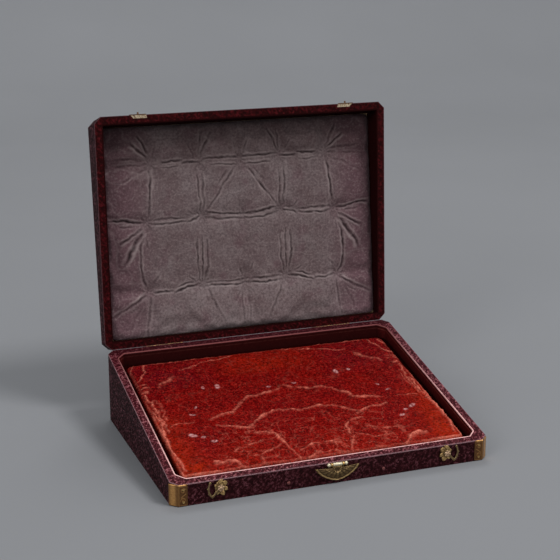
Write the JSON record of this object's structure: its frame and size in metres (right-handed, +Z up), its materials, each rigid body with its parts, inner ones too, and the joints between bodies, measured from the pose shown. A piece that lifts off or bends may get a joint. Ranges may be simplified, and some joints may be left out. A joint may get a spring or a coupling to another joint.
{
  "type": "jewelry gift box",
  "caption": "Leather-covered jewelry case: sloping base with a red pad, hinged lid with a tufted grey lining, scroll latches, corner mounts and a fan-shaped front flap in aged brass.",
  "frame": {"origin": "middle of the base's underside", "axes": "+X to the box's right seen from the front, +Y to the rear, +Z up; the front faces -Y"},
  "size_m": [0.2814, 0.2553, 0.2782],
  "materials": {
    "leather_outer": "pebbled, worn satin, dark maroon",
    "leather_rim": "pebbled, satin, maroon",
    "bead": "smooth pale piping",
    "lining": "matte dark brown-red cloth",
    "underside": "matte covering paper",
    "pad_red": "crushed, soft sheen, red",
    "pad_grey": "velvet, tufted, grey-mauve",
    "board": "matte",
    "wood": "plain sawn",
    "brass": "aged, satin"
  },
  "bodies": {
    "base": {"base_bottom_board": "wood", "base_corner_block_front_left": "wood", "base_corner_block_front_right": "wood", "base_corner_block_rear_left": "wood", "base_corner_block_rear_right": "wood", "base_ledger_left": "wood", "base_ledger_rear": "wood", "base_ledger_right": "wood", "base_lining": "lining", "base_pad": "pad_red", "base_pad_board": "board", "base_rim_bead": "bead", "base_rim_leather": "leather_rim", "base_side_leather": "leather_outer", "base_underside": "underside", "base_wall_front": "wood", "base_wall_left": "wood", "base_wall_rear": "wood", "base_wall_right": "wood", "corner_mount_left": "brass", "corner_mount_nails": "brass", "corner_mount_right": "brass", "flap_bracket": "brass", "flap_nails": "brass", "flap_pin": "brass", "front_studs": "brass", "hinge_leaf_base_left": "brass", "hinge_leaf_base_right": "brass", "hinge_pin_left": "brass", "hinge_pin_right": "brass", "hinge_screws_base": "brass", "latch_nails": "brass", "latch_plate_left": "brass", "latch_plate_right": "brass", "latch_rivet_left": "brass", "latch_rivet_right": "brass"},
    "lid": {"hinge_leaf_lid_left": "brass", "hinge_leaf_lid_right": "brass", "hinge_screws_lid": "brass", "lid_catch_left": "brass", "lid_catch_nails": "brass", "lid_catch_right": "brass", "lid_lining": "lining", "lid_pad": "pad_grey", "lid_panel": "wood", "lid_rim_leather": "leather_rim", "lid_side_leather": "leather_outer", "lid_wall_front": "wood", "lid_wall_left": "wood", "lid_wall_rear": "wood", "lid_wall_right": "wood"},
    "latch_hook_left": {"latch_hook_left": "brass"},
    "latch_hook_right": {"latch_hook_right": "brass"},
    "flap": {"flap_fan": "brass"}
  },
  "joints": [
    {"name": "lid_hinge", "type": "hinge", "parent": "base", "child": "lid", "pos_m": [0, 0.1057, 0.0623], "axis": [1, 0, 0], "range_deg": [0, 105.7]},
    {"name": "latch_left_pivot", "type": "hinge", "parent": "base", "child": "latch_hook_left", "pos_m": [-0.1, -0.105, 0.012], "axis": [0, 1, 0], "range_deg": [0, 85]},
    {"name": "latch_right_pivot", "type": "hinge", "parent": "base", "child": "latch_hook_right", "pos_m": [0.1, -0.105, 0.012], "axis": [0, -1, 0], "range_deg": [0, 85]},
    {"name": "flap_hinge", "type": "hinge", "parent": "base", "child": "flap", "pos_m": [0, -0.1059, 0.0172], "axis": [-1, 0, 0], "range_deg": [0, 165]}
  ]
}
